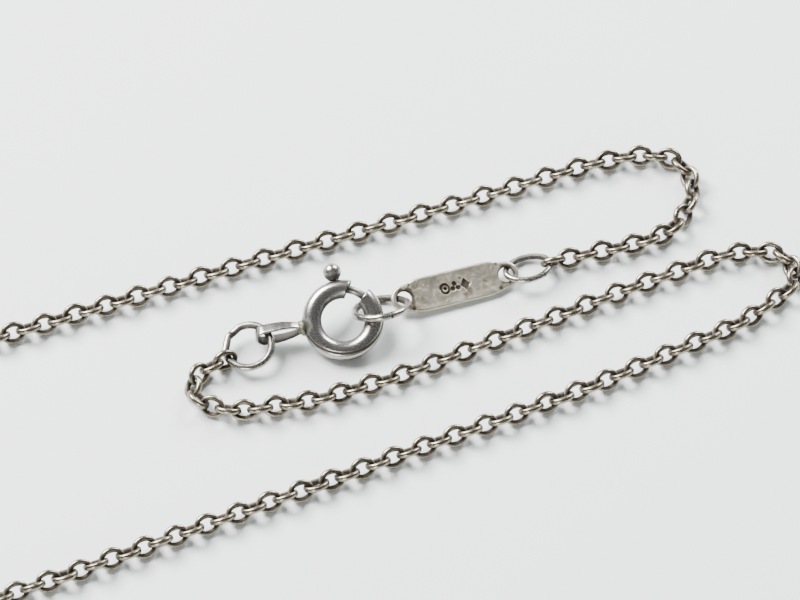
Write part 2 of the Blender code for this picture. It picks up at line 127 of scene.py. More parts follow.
class Finish:
    """A material under construction, with a Principled shader."""

    def __init__(self, name):
        self.material = bpy.data.materials.new(name)
        self.material.use_nodes = True
        self.tree = self.material.node_tree
        self.shader = self.tree.nodes["Principled BSDF"]

    def put(self, socket, value):
        if isinstance(value, Amount):
            self.tree.links.new(value.socket, socket)
        elif isinstance(value, tuple) and socket.type == "RGBA" and len(value) == 3:
            socket.default_value = (*value, 1)
        else:
            socket.default_value = value

    def node(self, kind, settings=None, values=None, out=0):
        made = self.tree.nodes.new(kind)
        for name, setting in (settings or {}).items():
            if name == "stops":
                self.set_stops(made.color_ramp.elements, setting)
            else:
                setattr(made, name, setting)
        for name, value in (values or {}).items():
            self.put(made.inputs[name], value)
        return Amount(self, made.outputs[out])

    def set_stops(self, elements, stops):
        for place, colour in stops[2:]:
            elements.new(place)
        for element, (place, colour) in zip(elements, stops):
            element.position = place
            element.color = (*colour, 1)

    def set(self, **sockets):
        """Sockets of the shader, by name, with _ for a space."""
        for name, value in sockets.items():
            self.put(self.shader.inputs[name.replace("_", " ")], value)

    def millimetres(self, x=1.0, y=1.0, z=1.0):
        """Where the point is on the resting object, stretched along each axis."""
        place = self.node("ShaderNodeTexCoord", out="Object")
        scale = (x / MM, y / MM, z / MM)
        return self.node("ShaderNodeVectorMath", {"operation": "MULTIPLY"}, {0: place, 1: scale})

    def cloud(self, scale, detail=2.0, where=None, roughness=0.5):
        """Noise about 0.5, with a number of lumps in each millimetre."""
        where = where or self.millimetres()
        values = {"Vector": where, "Scale": scale, "Detail": detail, "Roughness": roughness}
        return self.node("ShaderNodeTexNoise", values=values)

    def painted(self, name):
        """A mask that the mesh carries at its points."""
        return self.node("ShaderNodeAttribute", {"attribute_name": name}, out="Fac")

    def blend(self, share, first, second):
        """One colour laid over another by a share from 0 to 1."""
        settings = {"data_type": "RGBA", "clamp_factor": True}
        values = {0: share, 6: self.opaque(first), 7: self.opaque(second)}
        return self.node("ShaderNodeMix", settings, values, out=2)

    def opaque(self, colour):
        return (*colour, 1) if isinstance(colour, tuple) and len(colour) == 3 else colour

    def raised(self, height, depth):
        """The surface's normal where it is raised by height, up to a depth in millimetres."""
        values = {"Height": height, "Distance": depth * MM, "Strength": 1.0}
        return self.node("ShaderNodeBump", values=values)


# %% [markdown]
# ## Floor and light
#
# Polished metal shows its surroundings more than its own colour. One large soft panel up and to the
# left gives the broad highlights, a second from behind draws a rim, and the room itself stays half
# dark, so that the far sides of the wires have something dark to reflect.

# %% Floor
def quad(name, corners, finish):
    mesh = bpy.data.meshes.new(name)
    mesh.from_pydata([Vector(c) * MM for c in corners], [], [range(len(corners))])
    mesh.materials.append(finish)
    made = bpy.data.objects.new(name, mesh)
    bpy.context.scene.collection.objects.link(made)
    return made


surface = Finish("pale surface")
mottle = surface.cloud(0.05, 3)
surface.set(
    Base_Color=surface.blend(mottle, (0.80, 0.848, 0.842), (0.832, 0.876, 0.87)),
    Roughness=0.75,
    Specular_IOR_Level=0.25,
)
FLOOR_HALF = 1500
floor_corners = [(x * FLOOR_HALF, y * FLOOR_HALF, 0) for x, y in ((-1, -1), (1, -1), (1, 1), (-1, 1))]
floor = quad("floor", floor_corners, surface.material)


# %% Light
def panel(name, place, aim, size, power, colour=(1, 1, 1)):
    """A soft panel, placed and aimed in millimetres."""
    light = bpy.data.lights.new(name, "AREA")
    light.size = size * MM
    light.energy = power
    light.color = colour
    made = bpy.data.objects.new(name, light)
    bpy.context.scene.collection.objects.link(made)
    made.location = Vector(place) * MM
    made.rotation_euler = (Vector(aim) * MM - made.location).to_track_quat("-Z", "Y").to_euler()
    return made


FITTINGS = (17, 8, 0)
panel("key_panel", (-300, 260, 380), FITTINGS, 300, 13.6, (1.0, 0.99, 0.97))
panel("rim_panel", (280, 420, 300), FITTINGS, 240, 5.6, (0.96, 0.98, 1.0))
panel("front_panel", (-120, -520, 160), FITTINGS, 160, 1.6, (1.0, 0.98, 0.96))
room = bpy.data.worlds.new("room")
room.use_nodes = True
glow = room.node_tree.nodes["Background"].inputs
glow["Color"].default_value = (0.97, 0.99, 1.0, 1)
glow["Strength"].default_value = 0.22
bpy.context.scene.world = room

# %% [markdown]
# ## Old silver
#
# All the metal is one alloy, but each kind of piece is worn differently. The chain is rubbed warm and
# dull, with nearly black sulphide wherever two links meet. The clasp is handled least and stays
# brightest. So one recipe makes every finish, and its arguments say how polished, how warm and how
# tarnished it is. The meshes paint their own darkening as a mask that is 1 in the deepest corners. It
# is tarnish in the crevices. On the clasp it is also painted shade on the tube's underside and inner
# side and on the tab's lower leg, and a painted dark reflection on the knob's lower half. Noise then
# breaks the mask's edge, because tarnish never stops at a clean line.

# %% Recipe for the metal
def old_silver(name, light, warm, dark, rough, tarnish_and_shade_weight=1.0, scratch=(0.5, 7, 7), pitting=0.5,
               relief=0.010):
    """Silver darkened by its mask: tarnish in its crevices and, on the clasp, painted shade. Also clouded
    colour, hairlines and small pits.
    """
    metal = Finish(name)
    broad = metal.cloud(0.45, 3)
    patch = metal.cloud(2.2, 3)
    grain = metal.cloud(11, 3, roughness=0.6)
    hair = metal.cloud(2.5, 2, metal.millimetres(*scratch))
    crevice = metal.painted("crevice")
    tone = metal.painted("tone")
    edge = (patch - 0.5) * 0.5 + (grain - 0.5) * 0.35
    # Near-black where the mask is high: tarnish in the crevices, and painted shade where the clasp's pieces
    # carry it.
    black = (crevice * tarnish_and_shade_weight + edge).step(0.22, 0.72)
    film = (crevice * 0.8 + (broad - 0.5) * 1.6 + (patch - 0.5)).step(0.1, 1.0)
    spots = grain.step(0.60, 0.74) * patch.step(0.45, 0.6)
    clean = metal.blend(film, light, warm)
    clean = metal.blend(tone * 0.35, clean, tuple(0.55 * v for v in warm))
    clean = metal.blend(spots * pitting * 0.6, clean, dark)
    metal.set(
        Base_Color=metal.blend(black * 0.93, clean, dark),
        Metallic=1 - black * 0.55,
        Roughness=(rough + black * 0.35 + (grain - 0.5) * 0.12 + (hair - 0.5) * 0.14).held(),
        Normal=metal.raised(hair * 0.3 + grain * 0.25 * pitting + patch * 0.6 - spots * pitting, relief),
    )
    return metal


chain_silver = old_silver("chain silver", (0.31, 0.272, 0.21), (0.17, 0.137, 0.095), (0.025, 0.018, 0.014),
                          0.28, pitting=0.6).material
ring_silver = old_silver("ring silver", (0.39, 0.37, 0.335), (0.25, 0.225, 0.185), (0.030, 0.024, 0.020),
                         0.26, pitting=0.5).material
clasp_silver = old_silver("clasp silver", (0.40, 0.385, 0.36), (0.27, 0.248, 0.22), (0.028, 0.023, 0.020),
                          0.25, pitting=0.2, relief=0.004).material
tag_silver = old_silver("tag silver", (0.58, 0.54, 0.44), (0.34, 0.29, 0.205), (0.035, 0.027, 0.020),
                        0.40, scratch=(1.2, 5, 5), pitting=1.6, relief=0.028).material
solder = old_silver("old solder", (0.33, 0.33, 0.25), (0.20, 0.20, 0.14), (0.03, 0.03, 0.022),
                    0.42, pitting=0.8, relief=0.02).material
spring_wire = old_silver("spring wire", (0.38, 0.38, 0.39), (0.28, 0.26, 0.24), (0.03, 0.027, 0.025),
                         0.3).material


# %% [markdown]
# ## Nets
#
# Almost every piece is wire: a section carried along a line. The line's points come from a formula, and
# so do the section's, so a net of points is the simplest way to build them, and each point can carry its
# own masks. `Metalwork` gathers nets into one mesh. That suits a run of chain, which is many links but
# one piece.

# %% Gather nets into a mesh
class Metalwork:
    """Points, faces and masks of one piece, in millimetres."""

    def __init__(self):
        self.points = []
        self.faces = []
        self.masks = {"crevice": [], "tone": []}
        self.count = 0

    def add(self, points, faces, crevice=0.0, tone=0.0):
        points = np.asarray(points, float).reshape(-1, 3)
        self.points.append(points)
        self.faces += [[self.count + i for i in face] for face in faces]
        for name, value in (("crevice", crevice), ("tone", tone)):
            self.masks[name].append(np.broadcast_to(np.asarray(value, float).ravel(), len(points)))
        self.count += len(points)

    def finish(self, name, material, body, *stands_for, slot):
        mesh = bpy.data.meshes.new(name)
        mesh.from_pydata(np.concatenate(self.points) * MM, [], self.faces)
        for mask, values in self.masks.items():
            layer = mesh.attributes.new(mask, "FLOAT", "POINT")
            layer.data.foreach_set("value", np.concatenate(values).astype(np.float32))
        mesh.polygons.foreach_set("use_smooth", [True] * len(mesh.polygons))
        mesh.materials.append(material)
        made = bpy.data.objects.new(name, mesh)
        bpy.context.scene.collection.objects.link(made)
        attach(made, body)
        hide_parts(*stands_for)
        return made


def net_faces(rows, columns, closed_rows=False):
    """Quads between a net's points, row by row. Closed rows join the last row to the first."""
    faces = []
    for i in range(rows if closed_rows else rows - 1):
        for k in range(columns):
            here, after = i * columns, (i + 1) % rows * columns
            beside = (k + 1) % columns
            faces.append((here + k, after + k, after + beside, here + beside))
    return faces


def net_ends(rows, columns):
    """The two faces that close a net's first and last rows."""
    return [tuple(range(columns)), tuple(range(rows * columns - 1, (rows - 1) * columns - 1, -1))]


def round_net(centres, outs, ups, outline):
    """An outline of (out, up) carried along centres. Each argument has one row for each station."""
    return centres[:, None] + outs[:, None] * outline[..., :1] + ups[:, None] * outline[..., 1:]


def circle(count, start=0.0):
    angles = start + 2 * np.pi * np.arange(count) / count
    return np.stack([np.cos(angles), np.sin(angles)], axis=1)


# %% [markdown]
# ## The chain's route
#
# The chain runs from the tab's ring and from the tag's ring, in two sides that meet out of sight. Each
# side is a list of stations read along its line, with the number of links from one to the next. A smooth
# curve joins them, and the links sit on it at even steps.

# %% Stations
TAB_SIDE = [
    (4.0, 2.63, 1), (2.98, 2.15, 1), (2.05, 1.38, 1), (1.6, 0.25, 1), (2.05, -0.87, 1),
    (3.1, -1.5, 2), (5.55, -1.85, 2), (7.97, -1.43, 2), (10.43, -1.02, 2), (12.89, -0.33, 2),
    (15.3, 0.51, 2), (17.72, 1.34, 16), (36.76, 9.89, 2), (39.15, 10.86, 2), (41.56, 11.92, 2),
    (44.05, 12.65, 2), (46.5, 12.7, 1), (47.5, 12.2, 1), (48.15, 11.3, 1), (48.3, 10.25, 1),
    (47.75, 9.2, 1), (46.8, 8.35, 2), (44.77, 6.7, 2), (42.65, 5.42, 2), (40.36, 4.29, 8),
    (31.1, -0.18, 12), (17.0, -6.1, 14), (0.58, -13.0, 6), (-6.54, -16.0, 4), (-11.26, -17.88, 2),
    (-13.6, -18.8, 2), (-15.9, -19.7, 1), (-17.14, -20.17, 0),
]
TAG_SIDE = [
    (29.49, 11.75, 1), (30.75, 12.11, 2), (33.3, 12.82, 2), (35.75, 13.45, 2), (38.0, 14.35, 1),
    (39.0, 15.1, 1), (39.75, 16.15, 1), (40.3, 17.3, 1), (40.55, 18.5, 1), (40.4, 19.75, 1),
    (39.8, 20.85, 1), (38.85, 21.6, 2), (36.51, 21.85, 2), (34.02, 21.41, 2), (31.52, 20.67, 2),
    (29.02, 19.79, 4), (24.04, 17.97, 16), (4.4, 11.21, 8), (-5.34, 7.73, 6), (-12.45, 5.21, 2),
    (-14.85, 4.35, 2), (-17.3, 3.7, 4), (-22.4, 3.3, 18),
]
FOLD_LEFT, FOLD_PITCH, FOLD_START = -48.95, 1.285, 0.03
FOLD_FIRST_LINKS, FOLD_PASS_LINKS, FOLD_PASSES = 14, 11, 5
FOLD_END = [(-22.77, -17.63, 2), (-21.85, -19.92, 2), (-19.62, -20.86, 1), (-18.38, -20.65, 0)]


def turn_points(radius, start, end, count, centre):
    angles = np.radians(np.linspace(start, end, count))
    return [(centre[0] + radius * math.cos(a), centre[1] + radius * math.sin(a)) for a in angles]


def fold_stations():
    """The rest of the length: a quarter circle, then straight passes joined by half circles."""
    radius = 8 * FOLD_PITCH / math.pi
    bottom = FOLD_START - FOLD_FIRST_LINKS * FOLD_PITCH
    top = bottom + FOLD_PASS_LINKS * FOLD_PITCH
    turn = turn_points(radius, 90, 180, 3, (FOLD_LEFT + radius, FOLD_START))
    stations = [(x, y, 2) for x, y in turn[:-1]] + [(*turn[-1], FOLD_FIRST_LINKS)]
    for n in range(1, FOLD_PASSES):
        level, sweep = (bottom, 360) if n % 2 else (top, 0)
        turn = turn_points(radius, 180, sweep, 5, (FOLD_LEFT + (2 * n - 1) * radius, level))
        stations += [(x, y, 2) for x, y in turn[:-1]] + [(*turn[-1], FOLD_PASS_LINKS)]
    return stations


# %% [markdown]
# A curve through the stations leaves each one in the direction of its two neighbours. Python can walk
# it in short steps and measure them, which gives even spacing without solving anything.

# %% Walk the route
def smooth_points(stations, i, steps=64):
    """Points on the smooth curve from station i to the next."""
    p = [np.array(stations[max(0, min(j, len(stations) - 1))][:2]) for j in range(i - 1, i + 3)]
    before, here, after = (np.linalg.norm(b - a) or 1 for a, b in zip(p, p[1:]))
    leave = (p[2] - p[0]) * here / (before + here)
    arrive = (p[3] - p[1]) * here / (here + after)
    t = np.linspace(0, 1, steps + 1)[:, None]
    return (p[1] * (2 * t**3 - 3 * t**2 + 1) + leave * (t**3 - 2 * t**2 + t)
            + p[2] * (3 * t**2 - 2 * t**3) + arrive * (t**3 - t**2))


def link_places(stations):
    """The plan position of every link's centre."""
    places = []
    for i, (_, _, links) in enumerate(stations[:-1]):
        line = smooth_points(stations, i)
        walked = np.concatenate([[0], np.cumsum(np.linalg.norm(np.diff(line, axis=0), axis=1))])
        goals = walked[-1] * np.arange(links) / links
        places += list(zip(np.interp(goals, walked, line[:, 0]), np.interp(goals, walked, line[:, 1])))
    places.append(stations[-1][:2])
    return np.array(places)


tab_places = link_places(TAB_SIDE)
tag_places = link_places(TAG_SIDE + fold_stations() + FOLD_END)
print(len(tab_places), "links on the tab's side,", len(tag_places), "on the tag's side")

# %% [markdown]
# ## One link
#
# A cable link is a ring of wire pressed to an oval, and its wire is a little deeper than it is wide.
# A torus primitive can't do that, so the link is a net: an oval line with a squarish round section. Its
# crevice mask is strongest on the inside of the two bows, where the next link has its seat and where no
# cloth ever reaches. Each link leans 45 degrees, turn and turn about, as loose cable chain does.

# %% Shape the link
LINK_WIDTH, LINK_WIRE, LINK_DEPTH = 1.76, 0.36, 0.46
LINK_ROLL, LINK_FOOT = math.radians(45), 0.195
BOW_REACH, SIDE_REACH = 0.85, 0.67
LINK_STEPS, WIRE_SIDES = 28, 12


def link_net(squash, swell):
    """Points of one link about its centre, and its crevice mask."""
    around = 2 * np.pi * np.arange(LINK_STEPS) / LINK_STEPS
    length, width = BOW_REACH * (1 + squash), SIDE_REACH * (1 - squash)
    line = np.stack([length * np.cos(around), width * np.sin(around), 0 * around], axis=1)
    outs = np.stack([np.cos(around) / length, np.sin(around) / width, 0 * around], axis=1)
    outs /= np.linalg.norm(outs, axis=1, keepdims=True)
    ups = np.tile([0.0, 0.0, 1.0], (LINK_STEPS, 1))
    section = circle(WIRE_SIDES)
    section = np.sign(section) * np.abs(section) ** 0.85
    bow = np.abs(np.cos(around))[:, None]
    thick = LINK_WIRE / 2 * (1.22 - 0.14 * bow) * swell
    section = np.stack([thick * section[:, 0], 0 * thick + LINK_DEPTH / 2 * swell * section[:, 1]], axis=-1)
    points = round_net(line, outs, ups, section)
    inner = np.clip(0.45 - circle(WIRE_SIDES)[None, :, 0], 0, 1)
    return points, np.clip(inner * (0.62 + 0.6 * bow**3) + 0.5 * bow**4, 0, 1)


LINK_FACES = net_faces(LINK_STEPS, WIRE_SIDES, closed_rows=True)


# %% Lay the links
def link_frames(places, first_roll):
    """Centre, direction, bow direction and third axis of every link."""
    steps = np.empty_like(places)
    steps[1:-1] = places[2:] - places[:-2]
    steps[0], steps[-1] = places[1] - places[0], places[-1] - places[-2]
    frames = []
    for i, (place, step) in enumerate(zip(places, steps)):
        along = Vector((*step, 0)).normalized()
        roll = (LINK_ROLL if i % 2 else -LINK_ROLL) if i else first_roll
        across = UP.cross(along) * math.cos(roll) + UP * math.sin(roll)
        height = (LINK_WIDTH - LINK_WIRE) / 2 * abs(math.sin(roll)) + LINK_FOOT
        frames.append((Vector((*place, height)), along, across, along.cross(across)))
    return frames


def rested(points):
    """The same points, lifted where they would sink into what the chain lies on."""
    return points + [0, 0, max(0, 0.005 - points[:, 2].min())]


def lay_link(work, link):
    """One link with the small differences of handwork: its lean, its oval, its wire and its shade."""
    centre, along, across, third = link
    lean = chance.normal(0, math.radians(3.5))
    yaw = chance.normal(0, math.radians(1.5))
    turn = Matrix.Rotation(lean, 3, "X") @ Matrix.Rotation(yaw, 3, "Z")
    axes = np.array(Matrix((along, across, third)).transposed() @ turn)
    points, crevice = link_net(chance.normal(0, 0.012), 1 + chance.normal(0, 0.02))
    points = rested(points.reshape(-1, 3) @ axes.T + np.array(centre) + chance.normal(0, 0.012, 3))
    work.add(points, LINK_FACES, crevice, chance.uniform(0, 1))


# %% [markdown]
# Sixteen links on each side of the clasp are single pieces that turn on their own joints. Beyond them
# the model has runs: each stands for a stretch of 8 to 22 links that moves as one. A run is filled with
# real links here, so the chain looks the same all the way round.

# %% Chain pieces
SINGLE_LINKS = 16
TAB_SIDE_RUNS = (14, 12, 8, 16, 16, 20)
TAG_SIDE_RUNS = (14, 14, 14, 13, 16, 16, 19, 19, 19, 22)


def build_side(side, links, runs):
    for i, link in enumerate(links[:SINGLE_LINKS], start=1):
        work = Metalwork()
        lay_link(work, link)
        node = f"{side}_link_{i:02d}"
        work.finish(node + "_wire", chain_silver, node, node, slot="chain_metal")
    first = SINGLE_LINKS
    for n, count in enumerate(runs, start=1):
        work = Metalwork()
        for link in links[first:first + count]:
            lay_link(work, link)
        node = f"{side}_run_{n:02d}"
        work.finish(node + "_links", chain_silver, node, node, slot="chain_metal")
        first += count
    print(side, first, "links laid of", len(links))


FIRST_ROLL = math.radians(-65)
build_side("tab_side", link_frames(tab_places, FIRST_ROLL), TAB_SIDE_RUNS)
build_side("tag_side", link_frames(tag_places, FIRST_ROLL), TAG_SIDE_RUNS)

# %% [markdown]
# ## Jump rings
#
# Three rings of plain round wire join the tab, the clasp's tube, the tag and the two ends of the chain.
# The wire was bent by hand, so a ring is never quite flat or round. Each has a cut where it was opened.
# The net leaves a hair's gap there, and its two end faces are closed. Tarnish gathers at the cut and
# where a ring bears on its neighbours.

# %% Wire rings
def ring_axes(centre, x_axis, y_axis):
    x_axis = Vector(x_axis).normalized()
    z_axis = x_axis.cross(Vector(y_axis)).normalized()
    axes = Matrix((x_axis, z_axis.cross(x_axis), z_axis)).transposed()
    return np.array(centre, float), np.array(axes)


def leaning_axes(centre, bearing, lean):
    """Axes whose x is level at a bearing and whose y rises away from the front, in degrees."""
    bearing, lean = math.radians(bearing), math.radians(lean)
    along = Vector((math.cos(bearing), math.sin(bearing), 0))
    across = UP.cross(along) * math.cos(lean) + UP * math.sin(lean)
    return ring_axes(centre, along, across)


def wire_ring(name, placed, half_length, half_width, wire, cut, seats, wobble, kinks=(), steps=140,
              sides=16):
    """A ring cut open at one bearing. Other pieces rub at the seats. Between two kinks the wire is
    straight. Bearings are in degrees."""
    centre, axes = placed
    gap = 0.03 / half_length
    around = np.linspace(math.radians(cut) + gap / 2, math.radians(cut + 360) - gap / 2, steps)
    dents = np.array([noise.noise(Vector((3 * math.cos(a), 3 * math.sin(a), wobble))) for a in around])
    swell = 1 + 0.012 * dents
    for first, last in zip(kinks, kinks[1:]):
        off = (np.degrees(around) - (first + last) / 2 + 180) % 360 - 180
        flat = np.cos(math.radians((last - first) / 2)) / np.cos(np.radians(off))
        swell = np.where(np.abs(off) < (last - first) / 2, swell * flat, swell)
    line = np.stack([half_length * np.cos(around) * swell, half_width * np.sin(around) * swell,
                     0.12 * wire * np.sin(2 * around + wobble)], axis=1)
    outs = np.stack([np.cos(around) / half_length, np.sin(around) / half_width, 0 * around], axis=1)
    outs /= np.linalg.norm(outs, axis=1, keepdims=True)
    ups = np.tile([0.0, 0.0, 1.0], (steps, 1))
    section = np.tile(circle(sides) * wire, (steps, 1, 1)) * (1 + 0.05 * dents[:, None, None])
    points = rested(round_net(line, outs, ups, section).reshape(-1, 3) @ axes.T + centre)
    rubbed = sum(np.exp(-(((around - math.radians(s) + np.pi) % (2 * np.pi) - np.pi) / 0.3) ** 2)
                 for s in seats)
    at_cut = np.exp(-np.minimum(around - around[0], around[-1] - around) / 0.05)
    inner = np.clip(0.45 - circle(sides)[None, :, 0], 0, 1)
    crevice = np.clip(0.62 * inner + 0.8 * inner * rubbed[:, None] + 0.9 * at_cut[:, None], 0, 1)
    work = Metalwork()
    work.add(points, net_faces(steps, sides) + net_ends(steps, sides), crevice, 0.2)
    return work.finish(name + "_wire", ring_silver, name, name, slot="ring_metal")


bearing, rise = math.radians(46), math.radians(9.5)
level = Vector((math.cos(bearing), math.sin(bearing), 0))
tab_axes = ring_axes((5.77, 3.73, 1.08), level * math.cos(rise) + UP * math.sin(rise), UP.cross(level))
wire_ring("tab_ring", tab_axes, 1.82, 1.82, 0.29, 95, (0, 163), 1.3, kinks=(66, 104, 146))
wire_ring("end_ring", leaning_axes((16.05, 6.87, 1.55), 14.5, -38.5), 2.1, 2.22, 0.28, -80,
          (-150, 24), 4.1)
wire_ring("tag_ring", leaning_axes((27.48, 11.14, 0.8), 19.7, -18), 1.78, 1.37, 0.245, -62,
          (180, 0), 7.7)

# %% [markdown]
# ## The clasp's body
#
# A spring ring is a hollow tube bent to a circle, with a gap that the bolt closes. Its wall shows at the
# two cut ends, the cuts are slanted, and its outer side has a slot for the thumb knob's neck. The net
# runs round the tube twice, once outside and once inside, so the wall has its real thickness. Along the
# slot a few faces are left out, and walls close the edges.

# %% Clasp placement
CLASP_CENTRE, CLASP_TILT = (13.1, 5.73, 1.74), math.radians(24)
TUBE_CENTRELINE, TUBE_RADIUS, TUBE_WALL = 2.42, 0.74, 0.17
clasp_axes = np.array(Matrix.Rotation(CLASP_TILT, 3, "X"))
SLOT, SLOT_HALF = (97, 161), math.radians(21)
TAB_BEARING = 191


def on_clasp(points):
    """Points of the clasp's own frame, moved to where the clasp lies."""
    return np.asarray(points, float).reshape(-1, 3) @ clasp_axes.T + np.array(CLASP_CENTRE)


def ring_points(angles, outs, ups):
    """Points at angles round the clasp, at a distance out from its centre and a height."""
    return np.stack([outs * np.cos(angles), outs * np.sin(angles), ups + 0 * angles], axis=-1)


# %% Clasp tube
TUBE_STEPS, TUBE_SIDES = 170, 96
SEAM_WIDTH, SEAM_DEPTH, SEAM_SPAN = 0.11, 0.035, (205, 372)


def tube_angles(section):
    """Angle of every point of the tube. The cuts slant: the far side of each end is further on."""
    out_share = (1 + np.cos(section)) / 2
    start = np.radians(87 - 9 * out_share)
    end = np.radians(360 + 46.5 + 3.5 * out_share)
    share = np.linspace(0, 1, TUBE_STEPS)[:, None]
    return start + (end - start) * share


def tube_layer(radius):
    """The tube's net at one distance from its middle line."""
    return ring_points(angles, TUBE_CENTRELINE + radius * np.cos(section), radius * np.sin(section))


section = 2 * np.pi * np.arange(TUBE_SIDES) / TUBE_SIDES
angles = tube_angles(section)
degrees = np.degrees(angles)
seam_angle = np.radians(20 + 45 * np.clip(-np.sin(angles), 0, 1) ** 1.2)
seam_gap = np.abs((section[None, :] - seam_angle + np.pi) % (2 * np.pi) - np.pi) * TUBE_RADIUS
seam = np.exp(-(seam_gap / SEAM_WIDTH) ** 2) * ((degrees > SEAM_SPAN[0]) & (degrees < SEAM_SPAN[1]))
outer = tube_layer(TUBE_RADIUS - SEAM_DEPTH * seam)
inner = tube_layer(TUBE_RADIUS - TUBE_WALL)
in_slot = ((degrees > SLOT[0]) & (degrees < SLOT[1])
           & (np.abs((section + np.pi) % (2 * np.pi) - np.pi) < SLOT_HALF)[None, :])
faces, rim = [], {}
layer = TUBE_STEPS * TUBE_SIDES
for i in range(TUBE_STEPS - 1):
    for k in range(TUBE_SIDES):
        beside = (k + 1) % TUBE_SIDES
        corners = [(i, k), (i + 1, k), (i + 1, beside), (i, beside)]
        if all(in_slot[c] for c in corners):
            continue
        a, b, c, d = (row * TUBE_SIDES + column for row, column in corners)
        faces += [(a, b, c, d), (layer + d, layer + c, layer + b, layer + a)]
        for edge in ((a, b), (b, c), (c, d), (d, a)):
            rim[edge] = rim.get(edge, 0) + 1
for a, b in rim:
    if (b, a) not in rim:
        faces.append((b, a, layer + a, layer + b))
# Painted shade: the tube is darker on its inner side, on its underside, and in a band round the middle of its
# outer and inner sides. The seam, the slot's edges and the tab's root are tarnish.
inner_side_shade = np.clip(-np.cos(section), 0, 1) ** 2 * 0.75
low = np.clip(-np.sin(section), 0, 1) * 0.5 + 0.28 * np.exp(-(np.sin(section) / 0.4) ** 2)
by_slot = np.where((degrees > 92) & (degrees < 166), np.exp(-np.abs(section[None, :]) / 0.5), 0)
at_root = np.exp(-((degrees - TAB_BEARING) / 14) ** 2) * np.clip(np.cos(section[None, :]) + 0.3, 0, 1)
crevice = np.clip(inner_side_shade + low + 1.2 * seam + 0.6 * by_slot + 0.9 * at_root, 0, 1)
clasp = Metalwork()
clasp.add(on_clasp(np.concatenate([outer.reshape(-1, 3), inner.reshape(-1, 3)])), faces,
          np.concatenate([crevice.ravel(), np.ones(layer)]), 0.1)
clasp.finish("clasp_tube_shell", clasp_silver, "clasp", "clasp_tube", slot="clasp_metal")
print("clasp tube:", len(faces), "faces")

# %% [markdown]
# ## Bolt and knob
#
# The bolt is a curved rod that slides in the tube. Its tongue crosses the gap and enters the far end.
# The knob is a small ball on a neck, so that a thumbnail can draw the bolt back. A turned shape is a
# profile carried round an axis, which is a net again.

# %% Bolt
BOLT_RADIUS, BOLT_START, BOLT_END, NOSE_LENGTH = 0.31, 40, 112, 0.3
BOLT_STEPS, BOLT_SIDES, GAP_MIDDLE = 60, 20, 66

share = np.linspace(0, 1, BOLT_STEPS)
bolt_angles = np.radians(BOLT_START + (BOLT_END - BOLT_START) * share)
nose = np.clip((bolt_angles - bolt_angles[0]) * TUBE_CENTRELINE / NOSE_LENGTH, 0, 1)
thick = (BOLT_RADIUS * np.sqrt(1 - (1 - nose) ** 2 * 0.9))[:, None]
bolt_section = circle(BOLT_SIDES)
rod = ring_points(bolt_angles[:, None], TUBE_CENTRELINE + thick * bolt_section[:, 0],
                  thick * bolt_section[:, 1])
in_gap = np.clip(1 - np.abs(np.linspace(BOLT_START, BOLT_END, BOLT_STEPS) - GAP_MIDDLE) / 16, 0, 1)
work = Metalwork()
work.add(on_clasp(rod), net_faces(BOLT_STEPS, BOLT_SIDES) + net_ends(BOLT_STEPS, BOLT_SIDES),
         np.repeat(np.clip(0.75 - 0.5 * in_gap, 0, 1), BOLT_SIDES), 0.5)
work.finish("clasp_bolt_rod", clasp_silver, "bolt", "clasp_bolt", slot="clasp_metal")

# %% Knob
KNOB_ANGLE, KNOB_REACH, KNOB_RADIUS, NECK_RADIUS = math.radians(103), 3.84, 0.7, 0.2
turn = np.radians(np.linspace(90, -46, 20))
ball = np.stack([KNOB_RADIUS * np.cos(turn), KNOB_REACH + KNOB_RADIUS * np.sin(turn)], axis=1)
ball[0, 0] = 0.01
foot = [(0.43, 3.27), (0.41, 3.2), (NECK_RADIUS + 0.02, 3.18), (NECK_RADIUS, 3.1),
        (NECK_RADIUS, 2.76), (0.01, 2.76)]
profile = np.concatenate([ball, foot])
KNOB_SIDES = 28
spin = 2 * np.pi * np.arange(KNOB_SIDES) / KNOB_SIDES
knob_x = profile[:, 1][:, None] + 0 * spin
points = np.stack([knob_x, profile[:, :1] * np.cos(spin), profile[:, :1] * np.sin(spin)], axis=-1)
turned = np.array(Matrix.Rotation(KNOB_ANGLE, 3, "Z"))
# Darker towards the neck: tarnish where the ball meets the neck, and a painted dark reflection over the
# ball's lower half.
neck_tarnish_and_shade = np.clip(1.15 - (profile[:, 1] - 3.1) / 0.8, 0, 1)[:, None] + 0 * spin
work = Metalwork()
work.add(on_clasp(points.reshape(-1, 3) @ turned.T),
         net_faces(len(profile), KNOB_SIDES) + net_ends(len(profile), KNOB_SIDES), neck_tarnish_and_shade, 0.2)
work.finish("thumb_knob_ball", clasp_silver, "bolt", "thumb_knob", slot="clasp_metal")

# %% [markdown]
# ## Spring
#
# The coil lies hidden in the tube and shows only through the knob's slot. It gets a finer wire than the
# model's, from the same formula: a small circle that winds about the tube's middle line.

# %% Coil
COIL_TURNS, COIL_RADIUS, COIL_WIRE, COIL_SIDES = 16, 0.4, 0.045, 6
wound = np.linspace(0, 2 * np.pi * COIL_TURNS, COIL_TURNS * 20)
along_tube = np.radians(115 + 85 * wound / wound[-1])
line = ring_points(along_tube, TUBE_CENTRELINE + COIL_RADIUS * np.cos(wound), COIL_RADIUS * np.sin(wound))
outs = ring_points(along_tube, np.cos(wound), np.sin(wound))
ahead = np.gradient(line, axis=0)
ahead /= np.linalg.norm(ahead, axis=1, keepdims=True)
ups = np.cross(outs, ahead)
coil = round_net(line, outs, ups, np.tile(circle(COIL_SIDES) * COIL_WIRE, (len(line), 1, 1)))
work = Metalwork()
work.add(on_clasp(coil), net_faces(len(line), COIL_SIDES) + net_ends(len(line), COIL_SIDES), 0.4, 0.5)
work.finish("clasp_spring_coil", spring_wire, "clasp", "clasp_spring", slot="spring_steel")

